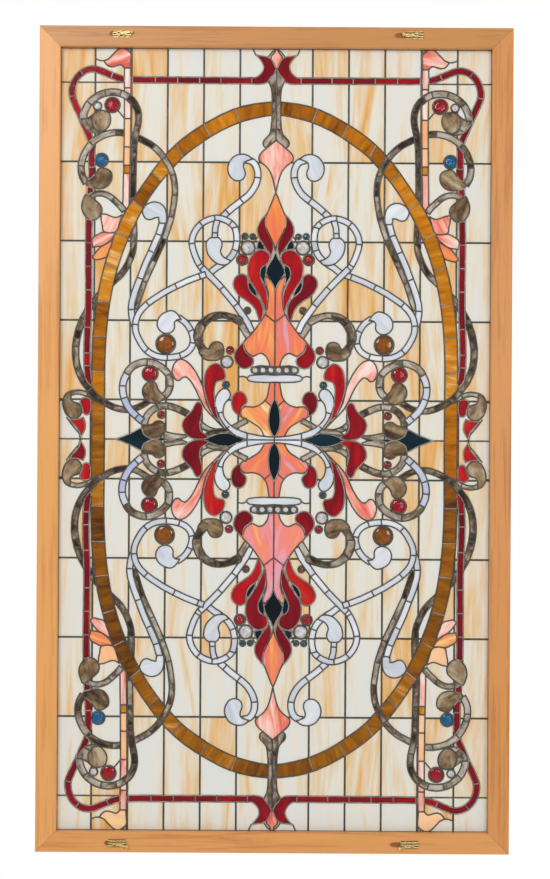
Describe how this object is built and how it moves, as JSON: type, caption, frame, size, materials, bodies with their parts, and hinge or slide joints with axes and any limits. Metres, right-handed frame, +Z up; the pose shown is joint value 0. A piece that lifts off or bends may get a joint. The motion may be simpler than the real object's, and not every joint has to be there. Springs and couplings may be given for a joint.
{
  "type": "stained glass window",
  "caption": "Upright leaded window panel with an amber oval ring, red border bands and scrolling ornament, set in a mitred wooden frame with small swing latches.",
  "frame": {"origin": "middle of the top rail's flat back face, which is what the window is fixed by", "axes": "+X to the viewer's right, +Y from the front to the back, +Z up"},
  "size_m": [0.86, 0.0399, 1.5],
  "materials": {
    "orange_wood": "clear-finished straight-grained softwood, warm orange",
    "lead_came": "dull dark grey lead with soldered joints",
    "cream_glass": "milky cream glass with upright amber wisps",
    "amber_glass": "streaky amber glass",
    "red_glass": "deep red glass",
    "blue_glass": "deep blue pressed glass",
    "aged_brass": "aged yellow brass"
  },
  "bodies": {
    "window": {"frame_rail_top": "orange_wood", "frame_rail_bottom": "orange_wood", "frame_stile_left": "orange_wood", "frame_stile_right": "orange_wood", "lead_cames": "lead_came", "cream_glass_border": "cream_glass", "cream_glass_centre": "cream_glass", "amber_ring_glass": "amber_glass", "red_border_glass_upper_right": "red_glass", "red_jewel_high_upper_right": "red_glass", "red_jewel_low_upper_right": "red_glass", "blue_jewel_upper_right": "blue_glass", "amber_jewel_upper_right": "amber_glass", "red_border_glass_upper_left": "red_glass", "red_jewel_high_upper_left": "red_glass", "red_jewel_low_upper_left": "red_glass", "blue_jewel_upper_left": "blue_glass", "amber_jewel_upper_left": "amber_glass", "red_border_glass_lower_left": "red_glass", "red_jewel_high_lower_left": "red_glass", "red_jewel_low_lower_left": "red_glass", "blue_jewel_lower_left": "blue_glass", "amber_jewel_lower_left": "amber_glass", "red_border_glass_lower_right": "red_glass", "red_jewel_high_lower_right": "red_glass", "red_jewel_low_lower_right": "red_glass", "blue_jewel_lower_right": "blue_glass", "amber_jewel_lower_right": "amber_glass", "latch_plate_top_left": "aged_brass", "latch_plate_top_right": "aged_brass", "latch_plate_bottom_left": "aged_brass", "latch_plate_bottom_right": "aged_brass"},
    "latch_lever_top_left": {"latch_lever_top_left": "aged_brass"},
    "latch_lever_top_right": {"latch_lever_top_right": "aged_brass"},
    "latch_lever_bottom_left": {"latch_lever_bottom_left": "aged_brass"},
    "latch_lever_bottom_right": {"latch_lever_bottom_right": "aged_brass"}
  },
  "joints": [
    {"name": "latch_turn_top_left", "type": "hinge", "parent": "window", "child": "latch_lever_top_left", "pos_m": [-0.286, -0.0355, 0.004], "axis": [0, -1, 0], "range_deg": [-90, 90]},
    {"name": "latch_turn_top_right", "type": "hinge", "parent": "window", "child": "latch_lever_top_right", "pos_m": [0.253, -0.0355, 0.004], "axis": [0, -1, 0], "range_deg": [-90, 90]},
    {"name": "latch_turn_bottom_left", "type": "hinge", "parent": "window", "child": "latch_lever_bottom_left", "pos_m": [-0.285, -0.0355, -1.464], "axis": [0, -1, 0], "range_deg": [-90, 90]},
    {"name": "latch_turn_bottom_right", "type": "hinge", "parent": "window", "child": "latch_lever_bottom_right", "pos_m": [0.254, -0.0355, -1.464], "axis": [0, -1, 0], "range_deg": [-90, 90]}
  ]
}
